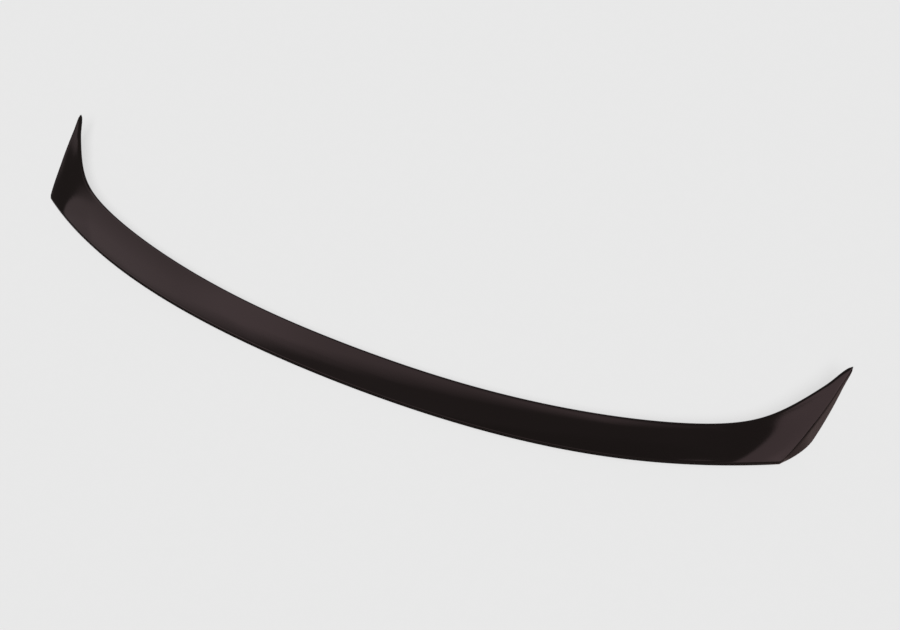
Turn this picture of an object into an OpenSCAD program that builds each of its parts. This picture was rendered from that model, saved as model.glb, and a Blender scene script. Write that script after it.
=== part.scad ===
// Rear spoiler for a saloon boot lid: one moulded blade that is bonded along the rear edge of the lid.
// X runs across the car, +Y points forward, +Z up. It stands as it rests on a table, on the heel
// line under its rear edge. The origin is on the table, midway across and midway front to back.

/* [Plan] */
// Distance between the two forward tips
span = 1250; // [1100:10:1400]
// How far the tips reach ahead of the middle of the front edge
end_reach = 198; // [175:1:225]
// Angle of the straight part of the front edge beside each tip, from the X axis
end_angle = 59.5; // [55:0.5:63]
// How far the bowed part of the front edge would sweep forward at full width
front_bow = 104; // [90:1:120]
// How late the front edge starts to bow, 2 is a parabola
bow_power = 2.3; // [2:0.05:2.6]
// How softly the bow turns into the straight part
turn_soft = 30; // [15:1:40]
// Front to back depth of the blade in the middle
mid_chord = 56; // [50:1:70]
// How far the rear corners stand ahead of the middle of the rear edge
rear_sweep = 106; // [95:0.5:118]
// How much the rear edge stays back before it sweeps forward
rear_hold = 12.5; // [4:0.5:16]
// How far each rear corner stands in from the tip
corner_inset = 35.5; // [25:0.5:50]
// Radius of the rear corners in plan
corner_round = 4; // [3:0.5:9]
// How much the front edge fills out just before each tip
tip_fill = 3.5; // [0:0.5:5]
// How far each pointed tip is blunted sideways
tip_blunt = 1.75; // [0:0.25:3]

/* [Heights] */
// Top of the front edge in the middle
front_height = 16.5; // [14.5:0.5:20]
// How much higher the tips are
tip_lift = 22; // [16:0.5:28]
// Top of the rear lip in the middle
lip_mid = 17.5; // [14:0.5:22]
// Top of the rear lip at the corners
lip_end = 26; // [22:0.5:31]
// Extra height of the rear lip between the middle and the corners
lip_swell = 6; // [0:0.5:9]
// How far each end rolls off towards its side wall
end_roll = 4.5; // [0:0.5:7]
// How deep the top is dished, as a share of the local depth
dish = 0.03; // [0.01:0.005:0.05]
// Share of that dish which is left at the side walls
end_dish = 0.4; // [0:0.1:1]

/* [Edges] */
// Radius of the rounded rear edge
edge_radius = 2.5; // [1.5:0.25:3]
// Thickness of the front edge
front_edge = 3; // [2:0.1:4]
// How far back the front edge is rounded off on top
nose = 3; // [2:0.25:5]
// Place of the heel under the blade, as a share of the local depth from the rear edge
heel_share = 0.35; // [0.3:0.01:0.4]
// Width of the flat on the heel
heel_flat = 3; // [2:0.5:4]
// How far the foot of each side wall leans out
side_flare = 8; // [4:0.5:12]
// How far the top edge of each side wall bulges
side_bulge = 4.5; // [0:0.5:8]
// How far the foot of each side wall bulges ahead of the heel
foot_bulge = 2.5; // [0:0.5:5]
// How far the foot of each side wall bulges behind the heel
heel_bulge = 3.5; // [0:0.5:6]
// Hollow of the face between the heel and the rear edge
under_hollow = 1.2; // [0:0.2:2]

/* [Cored underside] */
// Skin over the cored bays
wall = 3; // [2.4:0.1:3.6]
// Width of the bonding land along the front edge
front_land = 12; // [10:0.5:14]
// Width of the bonding land along the heel
heel_land = 6; // [4:0.5:8]
// Hollow of the bonding side, which follows the crowned lid
lid_hollow = 0.6; // [0:0.1:1]
// Bays on each side of the middle
bays = 8; // [6:1:10]
// Thickness of the ribs between the bays
rib = 2.6; // [2:0.1:4]
// How much the walls of a bay slope in from its mouth to its roof
draft = 1; // [0.6:0.1:1.5]
// Solid stretch left inside each side wall
end_wall = 14; // [8:1:24]

/* [Colour] */
// Colour of the gloss finish
finish = "#1e1916"; // ["#1e1916":brown black, "#101010":black, "#3a3a3c":graphite]

/* [Hidden] */
half = span / 2;
half_rear = half - corner_inset;
middle_y = (end_reach - mid_chord) / 2;
bay_steps = 4;   // stations across the roof of a bay
end_steps = 7;   // stations from the last bay to the side wall
arc_steps = 6;   // points round the rear edge
arc_from = 84;   // where the top meets that arc, in degrees
arc_to = 246;    // where the underside meets it

function mix(a, b, k) = a + (b - a) * k;
function flat(p) = [p[0], p[1]];

// Both edges are lifted by the roll towards the ends and lose it again over the last stretch, so
// their ends keep the heights that are set above.
roll_from = 0.78;
function roll_off(t) = end_roll * pow(max(0, (t - roll_from) / (1 - roll_from)), 2);

// Front edge: a bow that turns into a straight end, the larger of the two with a soft blend.
function blend(a, b) = (a + b) / 2 + sqrt(pow((a - b) / 2, 2) + turn_soft * turn_soft);
line_end = end_reach - turn_soft * turn_soft / (end_reach - front_bow);
function end_line(x) = line_end - (half - x) * tan(end_angle);
blend_mid = blend(0, end_line(0));
fill_from = 0.965;
function dip(v) = 6.75 * v * (1 - v) * (1 - v);
function front_y(x) =
  let (t = abs(x) / half)
  blend(front_bow * pow(t, bow_power), end_line(abs(x))) - blend_mid * (1 - t)
    + tip_fill * dip(min(1, (1 - t) / (1 - fill_from)));
function front_edge_at(t) =
  let (x = half * t, y = front_y(x))
  [x, y, front_height + (tip_lift + end_roll) * y / end_reach - roll_off(t)];

// Rear edge, first with sharp corners, then with each corner rounded.
function rear_sharp(t) =
  let (k = t * t, b = 4 * k * (1 - k))
  [half_rear * t,
   rear_sweep * k - mid_chord - rear_hold * b,
   mix(lip_mid, lip_end + end_roll, k) + lip_swell * b - roll_off(t)];
round_from = 1 - corner_round / half_rear;
corner = rear_sharp(1);
corner_to_tip = front_edge_at(1) - corner;
round_end = corner + corner_to_tip * corner_round / norm(flat(corner_to_tip));
function rear_round(k) =
  mix(mix(rear_sharp(round_from), corner, k), mix(corner, round_end, k), k);
function rear_edge_at(t) =
  t > round_from ? rear_round((t - round_from) / (1 - round_from)) : rear_sharp(t);

// Width that a land takes up along a section, which meets the front edge at a slant.
function slant(t) =
  let (e = 0.002, a = front_edge_at(t), b = front_edge_at(t - e),
       r = rear_edge_at(t), d1 = flat(a - b), d2 = flat(a - r))
  abs(d1[0] * d2[1] - d1[1] * d2[0]) / (norm(d1) * norm(d2));

// How late the forms of the side wall come in along the span.
function fade(t) = pow(t, 14);

// Heights over one section: r and f are its rear and front ends, c its depth, s the way from the rear
// and d how deep it is dished.
function dish_at(t, c) = dish * c * mix(1, end_dish, fade(t));
function top_z(r, f, c, d, s) = mix(r[2], f[2], s / c) - d * 4 * (s / c) * (1 - s / c);
function land_z(f, c, h, s) =
  let (k = (s - h) / (c - h))
  mix(0, f[2] - front_edge, k) + lid_hollow * 4 * k * (1 - k);
function under_z(e, h, s) =
  let (k = (s - e[0]) / (h - e[0]))
  mix(e[1], 0, k) + under_hollow * 4 * k * (1 - k);
function edge_point(lip, a) =
  [edge_radius * (1 + cos(a)), lip - edge_radius * (1 - sin(a))];

// Sideways lean of the side wall, and of the blunted tip, which fades out sooner.
blunt_run = span * 0.024;
function tip_lean(t, c, s) =
  let (v = min(1, (c - s) / blunt_run))
  pow(t, 60) * tip_blunt * 3.5 * sqrt(v) * (1 - v) * (1 - v);
function top_lean(t, c, s) = fade(t) * side_bulge * 4 * (s / c) * (1 - s / c);
function foot_lean(t, c, h, s) =
  let (k = s > h ? (c - s) / (c - h) : s / h)
  fade(t) * (side_flare * k + (s > h ? foot_bulge : heel_bulge) * 4 * k * (1 - k));

// One section as [way from the rear, height, lean] points, from the front edge over the top to the
// rear edge and back under it. cored is 1 where the section goes through the roof of a bay.
function section(t, cored) =
  let (r = rear_edge_at(t), f = front_edge_at(t), c = norm(flat(f - r)),
       c0 = norm(flat(f - rear_sharp(t))), d = dish_at(t, c),
       heel = c - (1 - heel_share) * c0,
       h1 = heel - heel_flat / 2, h2 = heel + heel_flat / 2,
       turn = slant(t), n = nose / turn, under = front_edge * 0.4 / turn,
       m1 = h2 + heel_land, m2 = c - front_land / turn,
       f1 = m1 + draft, f2 = m2 - draft,
       lip = top_z(r, f, c, d, edge_radius), e = edge_point(lip, arc_to),
       ways = [c - n, mix(m2, c - n, 0.5), m2, f2, mix(f2, f1, 0.25), mix(f2, f1, 0.5),
               mix(f2, f1, 0.75), f1, m1, h2, h1, mix(h1, e[0], 0.35), mix(h1, e[0], 0.7)],
       in_bay = [for (i = [0:len(ways) - 1]) cored == 1 && i > 2 && i < 8],
       tops = [for (s = ways) [s, top_z(r, f, c, d, s), top_lean(t, c, s) + tip_lean(t, c, s)]],
       feet = [for (i = [0:len(ways) - 1])
         let (s = ways[i],
              z = in_bay[i] ? top_z(r, f, c, d, s) - wall
                : i < 9 ? land_z(f, c - under, h2, s)
                : i < 11 ? 0
                : under_z(e, h1, s))
         [s, z, foot_lean(t, c, heel, s) + tip_lean(t, c, s)]])
  concat(
    [for (a = [90, 60, 30])
      let (s = c - n * (1 - sin(a)))
      [s, top_z(r, f, c, d, s) - front_edge * 0.8 * (1 - cos(a)), tip_lean(t, c, s)]],
    tops,
    [for (i = [0:arc_steps])
      let (p = edge_point(lip, mix(arc_from, arc_to, i / arc_steps)))
      [p[0], p[1], 0]],
    [for (i = [len(feet) - 1:-1:0]) feet[i]],
    [for (k = [1, 0.25])
      [c - under * k, f[2] - front_edge * (k == 1 ? 1 : 0.95), tip_lean(t, c, c - under * k)]]);

// The same section in space, on the right for side = 1 and on the left for side = -1.
function placed(t, cored, side) =
  let (r = rear_edge_at(t), f = front_edge_at(t), d = flat(f - r) / norm(flat(f - r)))
  [for (p = section(t, cored))
    [side * (r[0] + d[0] * p[0] + p[2]), r[1] + d[1] * p[0] - middle_y, p[1]]];

// Stations from the middle to the side wall, as [share of the half span, cored].
bay_end = 1 - end_wall / half_rear;
bay_wide = bay_end / bays;
rib_t = rib / 2 / half_rear;
draft_t = draft / half_rear;
function bay_stations(i) =
  let (a = i * bay_wide + rib_t, b = (i + 1) * bay_wide - rib_t, a1 = a + draft_t, b1 = b - draft_t)
  concat([[a, 0]], [for (k = [0:bay_steps]) [mix(a1, b1, k / bay_steps), 1]], [[b, 0]]);
stations = concat(
  [[0, 0]],
  [for (i = [0:bays - 1]) each bay_stations(i)],
  [for (k = [1:end_steps]) [mix(bay_end, 1, k / end_steps), 0]]);
last = len(stations) - 1;

rings = concat(
  [for (i = [last:-1:1]) placed(stations[i][0], stations[i][1], -1)],
  [for (i = [0:last]) placed(stations[i][0], stations[i][1], 1)]);
ring_count = len(rings);
ring_size = len(rings[0]);

// Skin between neighbouring rings, then one strip of faces across each side wall.
function at(i, j) = i * ring_size + j % ring_size;
skin = [
  for (i = [0:ring_count - 2], j = [0:ring_size - 1])
    each [[at(i, j), at(i + 1, j), at(i + 1, j + 1)], [at(i, j), at(i + 1, j + 1), at(i, j + 1)]]];
function side_strip(i, turn) = [
  for (j = [0:ring_size / 2 - 1])
    let (a = at(i, j), b = at(i, j + 1), c = at(i, ring_size - j - 1), d = at(i, ring_size - j),
         one = [a, b, c], two = [a, c, d])
    each concat(
      b == c ? [] : [turn ? [one[0], one[2], one[1]] : one],
      j == 0 ? [] : [turn ? [two[0], two[2], two[1]] : two])];

// The whole spoiler, moulded in one piece
module blade() {
  color(finish)
    polyhedron(
      points = [for (r = rings) each r],
      faces = concat(skin, side_strip(0, false), side_strip(ring_count - 1, true)),
      convexity = 12);
}

blade();
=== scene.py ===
import math

import bmesh
import bpy
import numpy as np
from bpy.props import FloatProperty, FloatVectorProperty, IntProperty, PointerProperty
from bpy.types import Operator, Panel, PropertyGroup
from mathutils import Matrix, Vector


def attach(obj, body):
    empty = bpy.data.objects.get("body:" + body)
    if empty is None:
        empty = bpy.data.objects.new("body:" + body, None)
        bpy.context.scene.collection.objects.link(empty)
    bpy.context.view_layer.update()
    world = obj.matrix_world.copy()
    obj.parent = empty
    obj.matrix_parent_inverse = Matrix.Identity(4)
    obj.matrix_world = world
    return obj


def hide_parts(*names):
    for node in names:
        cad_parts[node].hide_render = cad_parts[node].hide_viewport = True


bl_info = {
    "name": "Boot Lid Spoiler",
    "version": (1, 0, 0),
    "blender": (4, 5, 0),
    "location": "View3D > Sidebar > Spoiler",
    "description": "Builds a gloss moulded rear spoiler and the studio round it",
    "category": "Add Mesh",
}

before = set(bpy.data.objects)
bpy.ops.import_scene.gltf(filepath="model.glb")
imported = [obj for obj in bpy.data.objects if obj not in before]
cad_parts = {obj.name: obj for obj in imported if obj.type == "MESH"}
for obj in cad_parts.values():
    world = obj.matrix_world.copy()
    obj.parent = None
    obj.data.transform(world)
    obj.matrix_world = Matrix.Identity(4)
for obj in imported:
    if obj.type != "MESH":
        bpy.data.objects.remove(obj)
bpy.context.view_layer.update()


def length(name, description, default, low=0.0, high=2.0):
    """A size in metres, shown with its unit."""
    return FloatProperty(
        name=name, description=description, default=default, min=low, max=high,
        precision=5, unit="LENGTH", subtype="DISTANCE",
    )


def share(name, description, default, low=0.0, high=1.0):
    """A share or a strength without a unit."""
    return FloatProperty(
        name=name, description=description, default=default, min=low, max=high, precision=4,
        subtype="FACTOR" if high <= 1.0 else "NONE",
    )


def tint(name, description, default):
    """A colour in linear light."""
    return FloatVectorProperty(
        name=name, description=description, default=default, min=0.0, max=1.0, size=3, subtype="COLOR",
    )


# ---- Sizes and colours ----


class BladePlan(PropertyGroup):
    """Outline of the blade, seen from above."""

    span: length("Span", "Distance between the two forward tips", 1.25)
    end_reach: length("End Reach", "How far the tips reach ahead of the middle of the front edge", 0.198)
    end_angle: FloatProperty(
        name="End Angle", description="Angle of the straight part of the front edge beside each tip",
        default=math.radians(59.5), min=0.9, max=1.2, unit="ROTATION", subtype="ANGLE",
    )
    front_bow: length("Front Bow", "How far the bowed part of the front edge would sweep forward", 0.104)
    bow_power: share("Bow Power", "How late the front edge starts to bow, 2 is a parabola", 2.3, 1.5, 4.0)
    turn_soft: length("Turn Softness", "How softly the bow turns into the straight part", 0.030)
    mid_chord: length("Middle Depth", "Front to back depth in the middle", 0.056)
    rear_sweep: length("Rear Sweep", "How far the rear corners stand ahead of the middle", 0.106)
    rear_hold: length("Rear Hold", "How much the rear edge stays back before it sweeps forward", 0.0125)
    corner_inset: length("Corner Inset", "How far each rear corner stands in from the tip", 0.0355)
    corner_round: length("Corner Radius", "Radius of the rear corners in plan", 0.004)
    tip_fill: length("Tip Fill", "How much the front edge fills out just before each tip", 0.0035)
    tip_blunt: length("Tip Blunting", "How far each pointed tip is blunted sideways", 0.00175)


class BladeHeights(PropertyGroup):
    """Heights of the two long edges and of the dished top between them."""

    front_height: length("Front Height", "Top of the front edge in the middle", 0.0165)
    tip_lift: length("Tip Lift", "How much higher the tips are", 0.022)
    lip_mid: length("Lip Height Middle", "Top of the rear lip in the middle", 0.0175)
    lip_end: length("Lip Height Corners", "Top of the rear lip at the corners", 0.026)
    lip_swell: length("Lip Swell", "Extra height of the rear lip between the middle and the corners", 0.006)
    end_roll: length("End Roll", "How far each end rolls off towards its side wall", 0.0045)
    dish: share("Dish", "How deep the top is dished, as a share of the local depth", 0.03)
    end_dish: share("End Dish", "Share of the dish left at the side walls", 0.4)


class BladeEdges(PropertyGroup):
    """Edges, heel and side walls."""

    edge_radius: length("Rear Edge Radius", "Radius of the rounded rear edge", 0.00325)
    front_edge: length("Front Edge", "Thickness of the front edge", 0.003)
    nose: length("Nose", "How far back the middle of the front edge is rounded off on top", 0.0030)
    nose_end: length("Nose End", "How far back the front edge is rounded off at the tips", 0.0043)
    crease_round: length("Crease Round", "Rounding between the top and each side wall", 0.0036)
    heel_share: share("Heel Place", "Place of the heel, as a share of the depth from the rear edge", 0.35)
    heel_flat: length("Heel Flat", "Width of the flat on the heel", 0.003)
    side_flare: length("Side Flare", "How far the foot of each side wall leans out", 0.008)
    side_bulge: length("Side Bulge", "How far the top edge of each side wall bulges", 0.0045)
    foot_bulge: length("Foot Bulge", "How far the foot of each side wall bulges ahead of the heel", 0.0025)
    heel_bulge: length("Heel Bulge", "How far the foot of each side wall bulges behind the heel", 0.0035)
    foot_round: length("Foot Round", "Rounding along the foot of each side wall", 0.0012)
    under_hollow: length("Rear Hollow", "Hollow of the face between the heel and the rear edge", 0.0012)


class BladeUnderside(PropertyGroup):
    """Bonding side with its lands, ribs and cored bays."""

    wall: length("Skin", "Skin over the cored bays", 0.003)
    front_land: length("Front Land", "Width of the bonding land along the front edge", 0.012)
    heel_land: length("Heel Land", "Width of the bonding land along the heel", 0.006)
    lid_hollow: length("Lid Hollow", "Hollow of the bonding side, which follows the crowned lid", 0.0006)
    bays: IntProperty(name="Bays", description="Bays on each side of the middle", default=8, min=1, max=20)
    rib: length("Rib", "Thickness of the ribs between the bays", 0.0026)
    draft: length("Draft", "How much the walls of a bay slope in to its roof", 0.001)
    end_wall: length("End Stretch", "Solid stretch left inside each side wall", 0.014)


class GlossFinish(PropertyGroup):
    """Polished brown black surface of the show side and the plain moulded bonding side."""

    body_colour: tint("Body Colour", "Colour of the finish itself", (0.0073, 0.0059, 0.0053))
    sheen_colour: tint("Reflection Tint", "Tint of what the finish reflects", (1.0, 0.68, 0.72))
    polish: share("Polish", "Roughness of the show side", 0.07)
    bare: share("Moulded Side", "Roughness of the bonding side", 0.42)
    ripple: length("Ripple Depth", "Depth of the fine ripple of the finish", 0.000006)
    ripple_size: length("Ripple Size", "Distance between the ripples", 0.0025)


class Studio(PropertyGroup):
    """Floor, lights, the gloss-only sheets that paint darker reflections, and camera."""

    floor_colour: tint("Floor Colour", "Colour of the pale floor", (0.81, 0.81, 0.81))
    floor_size: length("Floor Size", "Width and depth of the floor", 40.0, 1.0, 100.0)
    floor_even: share("Even Floor", "Share of the floor's plain colour, the rest takes shadows", 0.8)
    key: share("Key Light", "Strength of the soft key light", 3.32, 0.0, 10.0)
    key_soft: FloatProperty(
        name="Key Softness", description="Width of the key light seen from the object",
        default=math.radians(35.0), min=0.0, max=3.1, unit="ROTATION", subtype="ANGLE",
    )
    surround: share("Surround", "Strength of the dim surround", 0.11)
    box_glow: share("Soft Boxes", "Strength of the soft boxes", 1.06, 0.0, 4.0)
    box_height: length("Soft Box Height", "Height of the soft boxes over the floor", 1.5, 0.5, 5.0)
    # Grey sheet beside the right end, seen in the gloss only: a painted darker reflection in the right side
    # wall
    grey_reflection_tone: share("Card Tone", "Tone of the dim card beside the right end", 0.33)
    # Black sheet along the rear edge, seen in the gloss only: a painted dark reflection in the rounded rear
    # edge
    black_reflection_tone: share("Black Card Tone", "Tone of the black card that lies along the rear edge", 0.02)
    lens: FloatProperty(
        name="Lens", description="Focal length of the camera on a 36 mm wide sensor",
        default=52.0, min=10.0, max=300.0, unit="CAMERA",
    )


# Gap between the floor and the resting blade, in metres
FLOOR_GAP = 0.0002

# Camera: place in metres, turn in radians, width of its sensor in millimetres
CAMERA_PLACE = (0.79148, -0.61761, 1.53078)
CAMERA_TURN = (0.5181638, 0.2070746, 0.4760217)
SENSOR_WIDTH, CLIP_START = 36.0, 0.01

# Key light: its place, which only shows where its handle is, and the side that it shines from
KEY_PLACE = (0.8, -0.6, 1.8)
KEY_SIDE = (0.386, -0.358, 0.85)

# Gloss-only sheets that paint darker reflections: (x, y) points in metres along the border next to the
# blade and along the other border, and heights
GREY_INNER, GREY_OUTER, GREY_RISE = ((0.56, -0.20), (0.61, 0.20)), ((0.84, -0.25), (0.84, 0.30)), 0.0003
# Dark sheet over the left end, seen in the gloss only: a painted dark reflection on the left tip's rim
DARK_SHEET_INNER = (
    (-0.672, 0.130), (-0.655, 0.100), (-0.635, 0.079), (-0.615, 0.062), (-0.595, 0.049), (-0.578, 0.041),
)
DARK_SHEET_OUTER = (
    (-0.655, 0.185), (-0.630, 0.170), (-0.610, 0.143), (-0.590, 0.120), (-0.572, 0.106), (-0.560, 0.098),
)
DARK_SHEET_RISE = 0.1
# Borders of the black sheet, a painted dark reflection along the rear edge, measured from the rear edge,
# and its steps along each half of it
BLACK_REACH, BLACK_RISE, BLACK_STEPS = (0.02, -0.40), 0.0001, 20
GREY_SHEET_TINT, BLACK_SHEET_TINT, SURROUND_TINT = (1.0, 0.76, 0.74), (1.0, 0.88, 0.86), (1.0, 0.98, 0.97)

# Noise in the body colour, the polish and the paper of the floor: its scale, and the share that it shifts
CLOUD_SCALE, CLOUD_SHIFT = 9.0, 0.08
HAZE_SCALE, HAZE_SHIFT = 35.0, 0.12
FIBRE_SCALE, FIBRE_SHIFT = 60.0, 0.005
GLOSS_IOR = 1.44

GROUPS = {
    "spoiler_plan": BladePlan,
    "spoiler_heights": BladeHeights,
    "spoiler_edges": BladeEdges,
    "spoiler_underside": BladeUnderside,
    "spoiler_finish": GlossFinish,
    "spoiler_studio": Studio,
}


# ---- Form of the blade ----

# Factors that bring the highest value of v (1 - v)^2 and of sqrt(v) (1 - v)^2 to 1
FILL_PEAK, BLUNT_PEAK = 6.75, 3.5
# Distances in metres at which points count as one, and angle from which an edge is shaded sharp
TOUCH, WELD, THIN = 1e-9, 1e-6, 1e-7
SHARP_ANGLE = math.radians(32)


def mix(a, b, k):
    return a + (b - a) * k


def stretch(a, b, count):
    """The inner points of an even division of a to b into count + 1 steps."""
    return [mix(a, b, (i + 1) / (count + 1)) for i in range(count)]


class BladeForm:
    """The long edges, the section between them and the stations along the span, from the named sizes."""

    # Shares of the half span where the ends start to roll off and where the front edge starts to fill out
    roll_from, fill_from = 0.78, 0.965
    # Powers of the way along the half span, by which the bulges of the side walls, the size of the nose and
    # the blunting of the tips set in
    fade_power, nose_power, blunt_power = 14, 4, 60
    # Stretch along a section that the blunting takes, as a share of the span
    blunt_share = 0.024
    # Shares of the front edge's thickness: the depth of its nose, and the reach of the rounding under it
    nose_drop, under_share = 0.8, 0.4
    # Rounded rear edge: from just before the top to its underside, in degrees
    arc_from, arc_to, arc_count = 84.0, 246.0, 27
    nose_count = 10
    # Steps between the front edge and a bay, across a bay, and from the heel to the rear edge
    land_steps, roof_steps, face_steps = 3, 7, 6
    # Steps along the span over a bay, and from the last bay to the side wall
    bay_steps, end_steps = 20, 24
    # Steps round the crease and the foot of a side wall, and down the wall
    turn_steps, wall_steps = 6, 7
    # Beside a rear corner the crease's rounding shrinks to a share of its size within this run
    corner_run, corner_roll = 0.008, 0.8
    # Largest shares of a side wall's height that its crease and its foot take
    crease_part, foot_part = 0.5, 0.35
    # Height from which a side wall has its full foot rounding
    full_wall = 0.006
    # Step over which the direction of the front edge is taken, as a share of the half span
    slant_step = 0.002

    def __init__(self, scene):
        groups = (scene.spoiler_plan, scene.spoiler_heights, scene.spoiler_edges, scene.spoiler_underside)
        for group in groups:
            for name in type(group).__annotations__:
                setattr(self, name, getattr(group, name))
        self.half = self.span / 2
        self.half_rear = self.half - self.corner_inset
        self.blunt_run = self.span * self.blunt_share
        self.middle_y = (self.end_reach - self.mid_chord) / 2
        self.line_end = self.end_reach - self.turn_soft ** 2 / (self.end_reach - self.front_bow)
        self.blend_mid = self.blend(0.0, self.end_line(0.0))
        self.round_from = 1 - self.corner_round / self.half_rear
        corner, tip = self.rear_sharp(1.0), self.front_edge_at(1.0)
        away = tip - corner
        self.corner = corner
        self.round_start = self.rear_sharp(self.round_from)
        self.round_end = corner + away * self.corner_round / math.hypot(away[0], away[1])

    def blend(self, a, b):
        return (a + b) / 2 + math.sqrt(((a - b) / 2) ** 2 + self.turn_soft ** 2)

    def end_line(self, x):
        return self.line_end - (self.half - x) * math.tan(self.end_angle)

    def roll_off(self, t):
        return self.end_roll * max(0.0, (t - self.roll_from) / (1 - self.roll_from)) ** 2

    def front_edge_at(self, t):
        """Front edge: a bow that turns into a straight end."""
        v = min(1.0, (1 - t) / (1 - self.fill_from))
        x = self.half * t
        y = self.blend(self.front_bow * abs(t) ** self.bow_power, self.end_line(abs(x)))
        y += self.tip_fill * FILL_PEAK * v * (1 - v) ** 2 - self.blend_mid * (1 - abs(t))
        z = self.front_height + (self.tip_lift + self.end_roll) * y / self.end_reach - self.roll_off(t)
        return np.array((x, y, z))

    def rear_sharp(self, t):
        """Rear edge before its corners are rounded."""
        k = t * t
        b = 4 * k * (1 - k)
        return np.array((
            self.half_rear * t,
            self.rear_sweep * k - self.mid_chord - self.rear_hold * b,
            mix(self.lip_mid, self.lip_end + self.end_roll, k) + self.lip_swell * b - self.roll_off(t),
        ))

    def rear_edge_at(self, t):
        if t <= self.round_from:
            return self.rear_sharp(t)
        k = (t - self.round_from) / (1 - self.round_from)
        return mix(mix(self.round_start, self.corner, k), mix(self.corner, self.round_end, k), k)

    def slant(self, t):
        """Sine of the angle at which a section meets the front edge."""
        a, b, r = self.front_edge_at(t), self.front_edge_at(t - self.slant_step), self.rear_edge_at(t)
        u, w = (a - b)[:2], (a - r)[:2]
        return abs(u[0] * w[1] - u[1] * w[0]) / (np.linalg.norm(u) * np.linalg.norm(w))

    def section(self, t, cored):
        """Points [way from the rear, height, lean, show] from the front edge over the top and back."""
        r, f = self.rear_edge_at(t), self.front_edge_at(t)
        c = math.hypot(f[0] - r[0], f[1] - r[1])
        sharp = self.rear_sharp(t)
        c0 = math.hypot(f[0] - sharp[0], f[1] - sharp[1])
        heel = c - (1 - self.heel_share) * c0
        turn = self.slant(t)
        h1, h2 = heel - self.heel_flat / 2, heel + self.heel_flat / 2
        m1, m2 = h2 + self.heel_land, c - self.front_land / turn
        f1, f2 = m1 + self.draft, m2 - self.draft
        radius, edge = self.edge_radius, self.front_edge
        fade = t ** self.fade_power
        nose = mix(self.nose, self.nose_end, t ** self.nose_power) / turn
        under = edge * self.under_share / turn
        dish = self.dish * c * mix(1.0, self.end_dish, fade)

        def top_z(s):
            return mix(r[2], f[2], s / c) - dish * 4 * (s / c) * (1 - s / c)

        def land_z(s):
            k = (s - h2) / (c - under - h2)
            return mix(0.0, f[2] - edge, k) + self.lid_hollow * 4 * k * (1 - k)

        lip = top_z(radius)

        def arc(a):
            a = math.radians(a)
            return radius * (1 + math.cos(a)), lip - radius * (1 - math.sin(a))

        e = arc(self.arc_to)

        def under_z(s):
            k = (s - e[0]) / (h1 - e[0])
            return mix(e[1], 0.0, k) + self.under_hollow * 4 * k * (1 - k)

        def tip_lean(s):
            v = min(1.0, (c - s) / self.blunt_run)
            return t ** self.blunt_power * self.tip_blunt * BLUNT_PEAK * math.sqrt(v) * (1 - v) ** 2

        def top_lean(s):
            return fade * self.side_bulge * 4 * (s / c) * (1 - s / c) + tip_lean(s)

        def foot_lean(s):
            k, bulge = ((c - s) / (c - heel), self.foot_bulge) if s > heel else (s / heel, self.heel_bulge)
            return fade * (self.side_flare * k + bulge * 4 * k * (1 - k)) + tip_lean(s)

        ways = [c - nose, *stretch(c - nose, m2, self.land_steps), m2]
        bay = range(len(ways), len(ways) + self.roof_steps + 2)
        ways += [f2, *stretch(f2, f1, self.roof_steps), f1, m1, h2, h1, *stretch(h1, e[0], self.face_steps)]
        points = []
        for i in range(self.nose_count):
            a = math.radians(90 - 90 * i / self.nose_count)
            s = c - nose * (1 - math.sin(a))
            points.append((s, top_z(s) - edge * self.nose_drop * (1 - math.cos(a)), tip_lean(s), 1.0))
        points += [(s, top_z(s), top_lean(s), 1.0) for s in ways]
        for i in range(self.arc_count):
            s, z = arc(mix(self.arc_from, self.arc_to, i / (self.arc_count - 1)))
            points.append((s, z, 0.0, 1.0))
        feet = []
        for i, s in enumerate(ways):
            if cored and i in bay:
                z = top_z(s) - self.wall
            elif s >= h2:
                z = land_z(s)
            else:
                z = 0.0 if s >= h1 else under_z(s)
            feet.append((s, z, foot_lean(s), 0.0 if s >= h1 else 1.0))
        points += feet[::-1]
        for i in range(self.nose_count - 1, 0, -1):
            b = math.radians(90 * i / self.nose_count)
            s = c - under * (1 - math.cos(b))
            z = f[2] - edge * self.nose_drop - edge * (1 - self.nose_drop) * math.sin(b)
            points.append((s, z, tip_lean(s), 1.0))
        return np.array(points)

    def placed(self, t, cored=False):
        """One section in space, on the right half: points and how far each belongs to the show side."""
        r, f = self.rear_edge_at(t), self.front_edge_at(t)
        d = (f - r)[:2]
        d = d / np.linalg.norm(d)
        p = self.section(t, cored)
        way, height, lean, show = p.T
        ring = np.column_stack((r[0] + d[0] * way + lean, r[1] + d[1] * way - self.middle_y, height))
        return ring, show

    def stations(self):
        """Places along the half span, each with whether it goes through the roof of a bay."""
        bay_end = 1 - self.end_wall / self.half_rear
        last = 1 - self.crease_round / self.half
        rib, draft = self.rib / 2 / self.half_rear, self.draft / self.half_rear
        places = [(0.0, False)]
        for i in range(self.bays):
            a, b = i * bay_end / self.bays + rib, (i + 1) * bay_end / self.bays - rib
            places += [(a, False)]
            places += [(mix(a + draft, b - draft, k / self.bay_steps), True)
                       for k in range(self.bay_steps + 1)]
            places += [(b, False)]
        places += [(mix(bay_end, last, k / self.end_steps), False) for k in range(1, self.end_steps + 1)]
        return places


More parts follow.
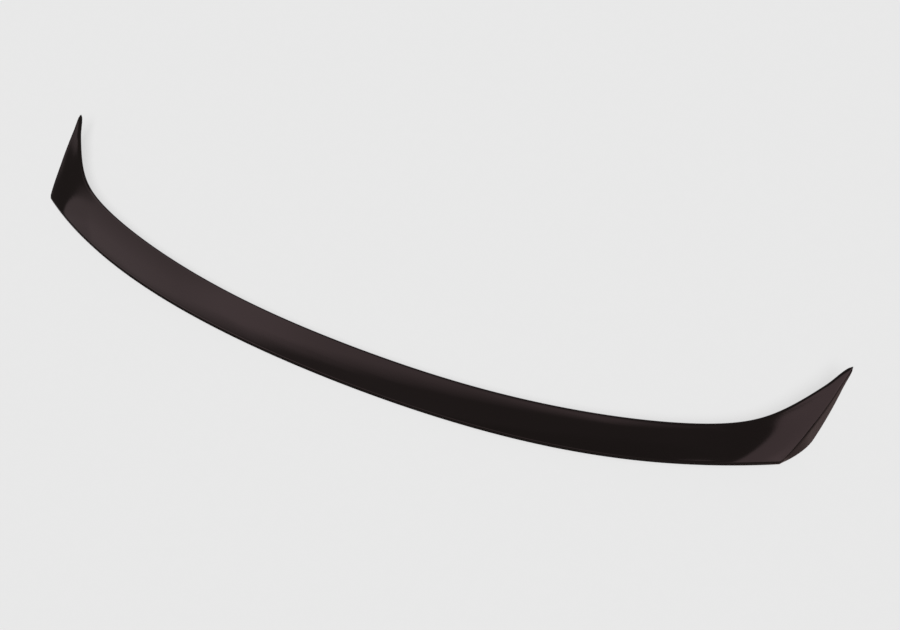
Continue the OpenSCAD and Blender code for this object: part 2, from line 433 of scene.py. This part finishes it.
def side_wall_rows(form):
    """Rows of points from the last section round the crease, down the side wall and round its foot."""
    start, _ = form.placed(form.stations()[-1][0])
    crease, _ = form.placed(1.0)
    size = len(start)
    pairs = size // 2 + 1
    foot_of = [(size - j) % size for j in range(pairs)]
    top, foot = crease[:pairs], crease[foot_of]
    drop = np.linalg.norm(foot - top, axis=1, keepdims=True)
    down = np.divide(foot - top, drop, out=np.zeros_like(top), where=drop > TOUCH)
    near_corner = np.linalg.norm(top - top[-1], axis=1, keepdims=True)
    roll_reach = form.crease_round * np.clip(near_corner / form.corner_run, form.corner_roll, 1.0)
    crease_reach = np.minimum(roll_reach, form.crease_part * drop)
    foot_reach = np.minimum(form.foot_round, form.foot_part * drop)

    def toward(a, b, reach):
        return a + (b - a) * np.minimum(1.0, reach / np.linalg.norm(b - a, axis=1, keepdims=True))

    tall = np.minimum(1.0, drop / form.full_wall)
    outer = toward(top, start[:pairs], roll_reach)
    inner = toward(foot, start[foot_of], mix(roll_reach, form.foot_round, tall))
    upper, lower = top + down * crease_reach, foot - down * foot_reach
    turn = [0.0, *stretch(0, 1, form.turn_steps), 1.0]
    rows = [(1 - k) ** 2 * outer + 2 * k * (1 - k) * top + k * k * upper for k in turn]
    rows += [mix(upper, lower, k) for k in stretch(0, 1, form.wall_steps)]
    rows += [(1 - k) ** 2 * lower + 2 * k * (1 - k) * foot + k * k * inner for k in turn]
    return rows, foot_of


def blade_mesh(form):
    """The whole skin as one closed mesh, with a show attribute that is 0 on the bonding side."""
    half = [form.placed(t, cored) for t, cored in form.stations()]
    mirror = np.array((-1.0, 1.0, 1.0))
    rings = [ring * mirror for ring, _ in half[:0:-1]] + [ring for ring, _ in half]
    shows = [show for _, show in half[:0:-1]] + [show for _, show in half]
    size, count = len(rings[0]), len(rings)
    points = [p for ring in rings for p in ring]
    show = [s for row in shows for s in row]
    faces = []
    for i in range(count - 1):
        for j in range(size):
            k = (j + 1) % size
            faces.append((i * size + j, i * size + k, (i + 1) * size + k, (i + 1) * size + j))
    rows, foot_of = side_wall_rows(form)
    for sign, ring in ((1.0, count - 1), (-1.0, 0)):
        lines = [[ring * size + j for j in range(len(foot_of))]]
        for row in rows:
            lines.append([len(points) + j for j in range(len(row))])
            points += [p * np.array((sign, 1.0, 1.0)) for p in row]
            show += [1.0] * len(row)
        lines.append([ring * size + j for j in foot_of])
        for a, b in zip(lines, lines[1:]):
            for j in range(len(foot_of) - 1):
                faces.append((a[j], b[j], b[j + 1], a[j + 1]))
    mesh = bpy.data.meshes.new("blade_skin")
    mesh.from_pydata([tuple(p) for p in points], [], faces)
    show_side = mesh.attributes.new("show_side", "FLOAT", "POINT")
    show_side.data.foreach_set("value", np.array(show, np.float32))
    work = bmesh.new()
    work.from_mesh(mesh)
    bmesh.ops.remove_doubles(work, verts=work.verts, dist=WELD)
    bmesh.ops.dissolve_degenerate(work, edges=work.edges, dist=THIN)
    bmesh.ops.recalc_face_normals(work, faces=work.faces)
    open_edges = [e for e in work.edges if len(e.link_faces) != 2]
    if open_edges:
        raise RuntimeError(f"the skin of the blade isn't closed: {len(open_edges)} open edges")
    work.to_mesh(mesh)
    work.free()
    mesh.shade_smooth()
    mesh.set_sharp_from_angle(angle=SHARP_ANGLE)
    return mesh


# ---- Finishes ----


def gloss_finish(finish):
    """Polished brown black plastic with a fine ripple, duller on the moulded bonding side."""
    material = bpy.data.materials.new("gloss_finish")
    material.use_nodes = True
    nodes, links = material.node_tree.nodes, material.node_tree.links
    nodes.clear()
    out = nodes.new("ShaderNodeOutputMaterial")
    shader = nodes.new("ShaderNodeBsdfPrincipled")
    links.new(shader.outputs["BSDF"], out.inputs["Surface"])
    shader.inputs["IOR"].default_value = GLOSS_IOR
    shader.inputs["Specular Tint"].default_value = (*finish.sheen_colour, 1.0)

    place = nodes.new("ShaderNodeTexCoord")
    side = nodes.new("ShaderNodeAttribute")
    side.attribute_name = "show_side"

    cloud = nodes.new("ShaderNodeTexNoise")
    cloud.inputs["Scale"].default_value = CLOUD_SCALE
    cloud.inputs["Detail"].default_value = 4.0
    links.new(place.outputs["Object"], cloud.inputs["Vector"])
    shade = nodes.new("ShaderNodeMix")
    shade.data_type = "RGBA"
    colour = Vector(finish.body_colour)
    shade.inputs["A"].default_value = (*(colour * (1 - CLOUD_SHIFT)), 1.0)
    shade.inputs["B"].default_value = (*(colour * (1 + CLOUD_SHIFT)), 1.0)
    links.new(cloud.outputs["Fac"], shade.inputs["Factor"])
    links.new(shade.outputs["Result"], shader.inputs["Base Color"])

    haze = nodes.new("ShaderNodeTexNoise")
    haze.inputs["Scale"].default_value = HAZE_SCALE
    haze.inputs["Detail"].default_value = 6.0
    haze.inputs["Roughness"].default_value = 0.6
    links.new(place.outputs["Object"], haze.inputs["Vector"])
    polished = nodes.new("ShaderNodeMapRange")
    polished.inputs["To Min"].default_value = finish.polish * (1 - HAZE_SHIFT)
    polished.inputs["To Max"].default_value = finish.polish * (1 + HAZE_SHIFT)
    links.new(haze.outputs["Fac"], polished.inputs["Value"])
    rough = nodes.new("ShaderNodeMix")
    rough.data_type = "FLOAT"
    rough.inputs["A"].default_value = finish.bare
    links.new(side.outputs["Fac"], rough.inputs["Factor"])
    links.new(polished.outputs["Result"], rough.inputs["B"])
    links.new(rough.outputs["Result"], shader.inputs["Roughness"])

    ripple = nodes.new("ShaderNodeTexNoise")
    ripple.inputs["Scale"].default_value = 1.0 / finish.ripple_size
    ripple.inputs["Detail"].default_value = 1.0
    links.new(place.outputs["Object"], ripple.inputs["Vector"])
    bump = nodes.new("ShaderNodeBump")
    bump.inputs["Strength"].default_value = 1.0
    bump.inputs["Distance"].default_value = finish.ripple
    links.new(ripple.outputs["Fac"], bump.inputs["Height"])
    links.new(bump.outputs["Normal"], shader.inputs["Normal"])
    return material


def floor_paper(studio):
    """Matt pale paper with a very faint fibre."""
    material = bpy.data.materials.new("floor_paper")
    material.use_nodes = True
    nodes, links = material.node_tree.nodes, material.node_tree.links
    shader = nodes["Principled BSDF"]
    shader.inputs["Roughness"].default_value = 1.0
    shader.inputs["Specular IOR Level"].default_value = 0.0
    place = nodes.new("ShaderNodeTexCoord")
    fibre = nodes.new("ShaderNodeTexNoise")
    fibre.inputs["Scale"].default_value = FIBRE_SCALE
    links.new(place.outputs["Object"], fibre.inputs["Vector"])
    shade = nodes.new("ShaderNodeMix")
    shade.data_type = "RGBA"
    colour = Vector(studio.floor_colour)
    shade.inputs["A"].default_value = (*(colour * (1 - FIBRE_SHIFT)), 1.0)
    shade.inputs["B"].default_value = (*(colour * (1 + FIBRE_SHIFT)), 1.0)
    links.new(fibre.outputs["Fac"], shade.inputs["Factor"])
    links.new(shade.outputs["Result"], shader.inputs["Base Color"])
    plain = nodes.new("ShaderNodeEmission")
    links.new(shade.outputs["Result"], plain.inputs["Color"])
    path = nodes.new("ShaderNodeLightPath")
    seen = path.outputs["Is Camera Ray"]
    for ray in ("Is Glossy Ray", "Is Transmission Ray"):
        add = nodes.new("ShaderNodeMath")
        add.operation = "ADD"
        add.use_clamp = True
        links.new(seen, add.inputs[0])
        links.new(path.outputs[ray], add.inputs[1])
        seen = add.outputs["Value"]
    part = nodes.new("ShaderNodeMath")
    part.operation = "MULTIPLY"
    part.inputs[1].default_value = studio.floor_even
    links.new(seen, part.inputs[0])
    both = nodes.new("ShaderNodeMixShader")
    links.new(part.outputs["Value"], both.inputs["Fac"])
    links.new(shader.outputs["BSDF"], both.inputs[1])
    links.new(plain.outputs["Emission"], both.inputs[2])
    links.new(both.outputs["Shader"], nodes["Material Output"].inputs["Surface"])
    return material


def box_cloth(studio):
    """Glowing cloth of a soft box, which fades into the dim surround towards the box's edges."""
    material = bpy.data.materials.new("box_cloth")
    material.use_nodes = True
    nodes, links = material.node_tree.nodes, material.node_tree.links
    nodes.clear()
    out = nodes.new("ShaderNodeOutputMaterial")
    glow = nodes.new("ShaderNodeEmission")
    level = nodes.new("ShaderNodeAttribute")
    level.attribute_name = "glow"
    strength = nodes.new("ShaderNodeMath")
    strength.operation = "MULTIPLY_ADD"
    strength.inputs[1].default_value = studio.box_glow
    strength.inputs[2].default_value = studio.surround
    links.new(level.outputs["Fac"], strength.inputs[0])
    links.new(strength.outputs["Value"], glow.inputs["Strength"])
    links.new(glow.outputs["Emission"], out.inputs["Surface"])
    return material


def surround_world(studio):
    """Dim surround that lights the object, which the camera sees in the plain colour of the floor."""
    world = bpy.data.worlds.new("surround")
    world.use_nodes = True
    nodes, links = world.node_tree.nodes, world.node_tree.links
    dim = nodes["Background"]
    dim.inputs["Color"].default_value = (*SURROUND_TINT, 1.0)
    dim.inputs["Strength"].default_value = studio.surround
    pale = nodes.new("ShaderNodeBackground")
    pale.inputs["Color"].default_value = (*studio.floor_colour, 1.0)
    pale.inputs["Strength"].default_value = 1.0
    path = nodes.new("ShaderNodeLightPath")
    both = nodes.new("ShaderNodeMixShader")
    links.new(path.outputs["Is Camera Ray"], both.inputs["Fac"])
    links.new(dim.outputs["Background"], both.inputs[1])
    links.new(pale.outputs["Background"], both.inputs[2])
    links.new(both.outputs["Shader"], nodes["World Output"].inputs["Surface"])
    return world


# ---- Studio pieces ----


def add_object(name, data):
    piece = bpy.data.objects.new(name, data)
    bpy.context.scene.collection.objects.link(piece)
    return piece


def gloss_only(piece):
    """Keep a piece out of everything but what the gloss reflects."""
    piece.visible_camera = False
    piece.visible_diffuse = False
    piece.visible_shadow = False


def soft_box(name, lines, height, material):
    """A hanging soft box: rows of (x, y, glow) in shares of its height over the floor, all equally long."""
    count = len(lines[0])
    points = [(x * height, y * height, height) for line in lines for x, y, _ in line]
    faces = []
    for i in range(len(lines) - 1):
        for j in range(count - 1):
            a = i * count + j
            faces.append((a, a + count, a + count + 1, a + 1))
    mesh = bpy.data.meshes.new(name)
    mesh.from_pydata(points, [], faces)
    glow = mesh.attributes.new("glow", "FLOAT", "POINT")
    glow.data.foreach_set("value", np.array([g for line in lines for _, _, g in line], np.float32))
    mesh.materials.append(material)
    box = add_object(name, mesh)
    gloss_only(box)


def left_box_lines():
    """Long box over the left half: it fades to the far side, and its left end is cut at a slant."""
    near_from, near_to, flat_to = -0.20, -0.10, 0.10
    spill_run, spill_to, back_fade = 0.02, 0.66, 0.10
    columns = (
        # x, near glow, y and value of the full glow, y where it starts to fade, y of its end, spill behind
        (-1.06, 0.42, 0.64, 1.00, 0.78, 1.50, 0.00), (-0.94, 0.50, 0.62, 0.96, 0.80, 1.16, 0.00),
        (-0.84, 0.66, 0.52, 0.88, 0.66, 0.90, 0.00), (-0.76, 1.02, 0.30, 1.02, 0.48, 0.76, 0.02),
        (-0.70, 1.05, 0.24, 1.02, 0.43, 0.64, 0.05), (-0.64, 1.01, 0.20, 0.97, 0.34, 0.49, 0.08),
        (-0.58, 0.88, 0.16, 0.83, 0.27, 0.42, 0.07), (-0.50, 0.80, 0.14, 0.76, 0.20, 0.37, 0.07),
        (-0.40, 0.73, 0.12, 0.70, 0.17, 0.35, 0.05), (-0.30, 0.68, 0.12, 0.66, 0.19, 0.375, 0.03),
        (-0.20, 0.66, 0.14, 0.64, 0.29, 0.42, 0.02), (-0.12, 0.62, 0.20, 0.62, 0.39, 0.47, 0.02),
        (-0.04, 0.50, 0.20, 0.50, 0.37, 0.45, 0.02), (0.03, 0.24, 0.20, 0.24, 0.35, 0.42, 0.01),
        (0.08, 0.00, 0.20, 0.00, 0.36, 0.42, 0.00),
    )
    lines = [
        [(x, near_from, 0.0), (x, near_to, near), (x, flat_to, near), (x, y1, full), (x, y2, full),
         (x, y3, spill), (x, max(y3 + spill_run, spill_to), spill), (x, max(y3, spill_to) + back_fade, 0.0)]
        for x, near, y1, full, y2, y3, spill in columns
    ]
    soft, join = 0.035, columns[0][0]
    end = (
        # y, x of the slanted border, glow
        (-0.10, -1.10, 0.40), (0.20, -1.10, 0.46), (0.30, -1.10, 0.52), (0.36, -1.10, 0.58),
        (0.39, -1.105, 0.64), (0.42, -1.135, 0.70), (0.44, -1.18, 0.74), (0.46, -1.235, 0.76),
        (0.48, -1.285, 0.77), (0.51, -1.335, 0.77), (0.54, -1.385, 0.77), (0.64, -1.50, 0.85),
        (1.40, -1.80, 0.30),
    )
    slant = [
        [(x - soft, y, 0.0) for y, x, _ in end],
        [(x + soft, y, glow) for y, x, glow in end],
        [(join, y, glow) for y, _, glow in end],
    ]
    return lines, slant


def right_box_lines():
    """Box over the right end: a crisp near edge, and a glow that rises towards its far end."""
    soft = 0.012
    glow, near_gain, gain_from, gain_run = 0.84, 0.20, 0.34, 0.08
    rise_from, rise_to, far_from, far_to, far_end = 0.60, 0.74, 0.75, 0.80, 0.82
    rise_glow, far_glow = 1.4, 1.9
    edge = (
        # y, x of the near edge
        (-0.20, 0.72), (0.00, 0.62), (0.12, 0.56), (0.20, 0.48), (0.222, 0.36), (0.24, 0.30),
        (0.262, 0.25), (0.29, 0.225), (0.32, 0.21), (0.40, 0.205), (0.50, 0.20), (0.56, 0.185),
        (0.62, 0.16), (0.68, 0.11), (0.74, 0.06), (0.80, 0.0), (0.88, -0.07), (1.05, -0.20),
    )
    lines = []
    for y, x in edge:
        level = glow + near_gain * min(1.0, max(0.0, (gain_from - y) / gain_run))
        lines.append([
            (x - soft, y, 0.0), (x + soft, y, level), (mix(x, rise_from, 0.4), y, level),
            (mix(x, rise_to, 0.6), y, rise_glow), (far_from, y, far_glow), (far_to, y, far_glow),
            (far_end, y, 0.0),
        ])
    return lines


def far_box_lines():
    """Narrow box beyond the left end, which lights up the left tip."""
    soft, crisp, spill_to, spill_end = 0.012, 0.008, 0.50, 0.56
    columns = (
        # x, y of the near border, y of the far border, glow, spill behind
        (-2.80, 0.22, 0.32, 0.62, 0.03), (-1.95, 0.225, 0.31, 0.62, 0.03),
        (-1.60, 0.232, 0.303, 0.60, 0.02), (-1.46, 0.236, 0.303, 0.60, 0.0),
        (-1.41, 0.248, 0.303, 0.60, 0.0), (-1.375, 0.262, 0.303, 0.58, 0.0),
        (-1.355, 0.272, 0.303, 0.55, 0.0), (-1.33, 0.28, 0.303, 0.0, 0.0),
    )
    return [
        [(x, near - soft, 0.0), (x, near + crisp, level), (x, far - soft, level),
         (x, far + soft, spill), (x, spill_to, spill), (x, spill_end, 0.0)]
        for x, near, far, level, spill in columns
    ]


def painted_reflection_sheet(name, inner, outer, rise, tone, colour):
    """Flat glowing sheet between two rows of (x, y) points, rise over the floor, that shows in the gloss
    only: a painted reflection.
    """
    material = bpy.data.materials.new(name)
    material.use_nodes = True
    nodes, links = material.node_tree.nodes, material.node_tree.links
    nodes.clear()
    out = nodes.new("ShaderNodeOutputMaterial")
    glow = nodes.new("ShaderNodeEmission")
    glow.inputs["Color"].default_value = (*colour, 1.0)
    glow.inputs["Strength"].default_value = tone
    links.new(glow.outputs["Emission"], out.inputs["Surface"])
    count = len(inner)
    points = [(x, y, rise) for x, y in (*inner, *outer)]
    faces = [(i, i + 1, count + i + 1, count + i) for i in range(count - 1)]
    mesh = bpy.data.meshes.new(name)
    mesh.from_pydata(points, [], faces)
    mesh.materials.append(material)
    card = add_object(name, mesh)
    gloss_only(card)


def lay_floor(studio):
    """Square floor just under the blade."""
    half = studio.floor_size / 2
    corners = [(-half, -half, 0), (half, -half, 0), (half, half, 0), (-half, half, 0)]
    mesh = bpy.data.meshes.new("floor")
    mesh.from_pydata(corners, [], [(0, 1, 2, 3)])
    mesh.materials.append(floor_paper(studio))
    floor = add_object("floor", mesh)
    floor.location.z = -FLOOR_GAP


def hang_boxes(studio):
    """Two boxes over the left half, one over the right end and one beyond the left end."""
    cloth = box_cloth(studio)
    left, left_end = left_box_lines()
    soft_box("soft_box_left", left, studio.box_height, cloth)
    soft_box("soft_box_left_end", left_end, studio.box_height, cloth)
    soft_box("soft_box_right", right_box_lines(), studio.box_height, cloth)
    soft_box("soft_box_far", far_box_lines(), studio.box_height, cloth)


def lay_painted_reflections(studio, form):
    """Gloss-only sheets that paint darker reflections: grey beside the right end, black behind the rear
    edge, dark over the left end.
    """
    # Grey sheet: painted darker reflection in the right side wall, in place of the white floor
    painted_reflection_sheet("grey_card", GREY_INNER, GREY_OUTER, GREY_RISE, studio.grey_reflection_tone, GREY_SHEET_TINT)
    # Black sheet under and behind the rear edge: painted dark reflection in the rear edge, in place of the
    # white floor
    ways = np.linspace(-1.0, 1.0, 2 * BLACK_STEPS + 1)
    rear = [form.rear_sharp(abs(t))[:2] for t in ways]
    rear = [(math.copysign(x, i - BLACK_STEPS), y - form.middle_y) for i, (x, y) in enumerate(rear)]
    under, behind = ([(x, y + reach) for x, y in rear] for reach in BLACK_REACH)
    painted_reflection_sheet("black_card", under, behind, BLACK_RISE, studio.black_reflection_tone, BLACK_SHEET_TINT)
    # Dark sheet: painted dark reflection on the left tip's rim, in place of the left soft box, at the
    # surround's tone
    painted_reflection_sheet("dark_flag", DARK_SHEET_INNER, DARK_SHEET_OUTER, DARK_SHEET_RISE, studio.surround, SURROUND_TINT)


def add_camera(studio):
    """Camera that stands and looks as the photographer's did."""
    camera = bpy.data.cameras.new("camera")
    camera.lens = studio.lens
    camera.sensor_fit = "HORIZONTAL"
    camera.sensor_width = SENSOR_WIDTH
    camera.clip_start = CLIP_START
    eye = add_object("camera", camera)
    eye.location = CAMERA_PLACE
    eye.rotation_euler = CAMERA_TURN
    return eye


def add_key(studio):
    """Soft key light, which the gloss doesn't reflect."""
    lamp = bpy.data.lights.new("key_light", "SUN")
    lamp.energy = studio.key
    lamp.angle = studio.key_soft
    key = add_object("key_light", lamp)
    key.location = KEY_PLACE
    key.rotation_euler = Vector(KEY_SIDE).to_track_quat("Z", "Y").to_euler()
    key.visible_glossy = False


# ---- Operators ----


class SPOILER_OT_blade(Operator):
    """Build the moulded blade from the sizes in the sidebar"""

    bl_idname = "spoiler.blade"
    bl_label = "Build Blade"

    def execute(self, context):
        form = BladeForm(context.scene)
        blade = add_object("spoiler_blade", blade_mesh(form))
        blade.data.materials.append(gloss_finish(context.scene.spoiler_finish))
        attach(blade, "root")
        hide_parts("blade")
        return {"FINISHED"}


class SPOILER_OT_stage(Operator):
    """Lay the pale floor and set up the soft lights and the camera"""

    bl_idname = "spoiler.stage"
    bl_label = "Set Up Studio"

    def execute(self, context):
        studio = context.scene.spoiler_studio
        lay_floor(studio)
        hang_boxes(studio)
        lay_painted_reflections(studio, BladeForm(context.scene))
        context.scene.camera = add_camera(studio)
        add_key(studio)
        context.scene.world = surround_world(studio)
        context.scene.view_settings.view_transform = "Standard"
        return {"FINISHED"}


class SPOILER_PT_sidebar(Panel):
    """Sizes, finish and studio of the spoiler"""

    bl_idname = "SPOILER_PT_sidebar"
    bl_label = "Boot Lid Spoiler"
    bl_space_type = "VIEW_3D"
    bl_region_type = "UI"
    bl_category = "Spoiler"

    def draw(self, context):
        for attribute, group in GROUPS.items():
            column = self.layout.box().column(align=True)
            column.label(text=group.__name__)
            values = getattr(context.scene, attribute)
            for name in group.__annotations__:
                column.prop(values, name)
        self.layout.operator(SPOILER_OT_blade.bl_idname)
        self.layout.operator(SPOILER_OT_stage.bl_idname)


CLASSES = (*GROUPS.values(), SPOILER_OT_blade, SPOILER_OT_stage, SPOILER_PT_sidebar)


def register():
    for cls in CLASSES:
        bpy.utils.register_class(cls)
    for attribute, group in GROUPS.items():
        setattr(bpy.types.Scene, attribute, PointerProperty(type=group))


def unregister():
    for attribute in GROUPS:
        delattr(bpy.types.Scene, attribute)
    for cls in reversed(CLASSES):
        bpy.utils.unregister_class(cls)


def main():
    register()
    bpy.ops.spoiler.blade()
    bpy.ops.spoiler.stage()


if __name__ == "__main__":
    main()
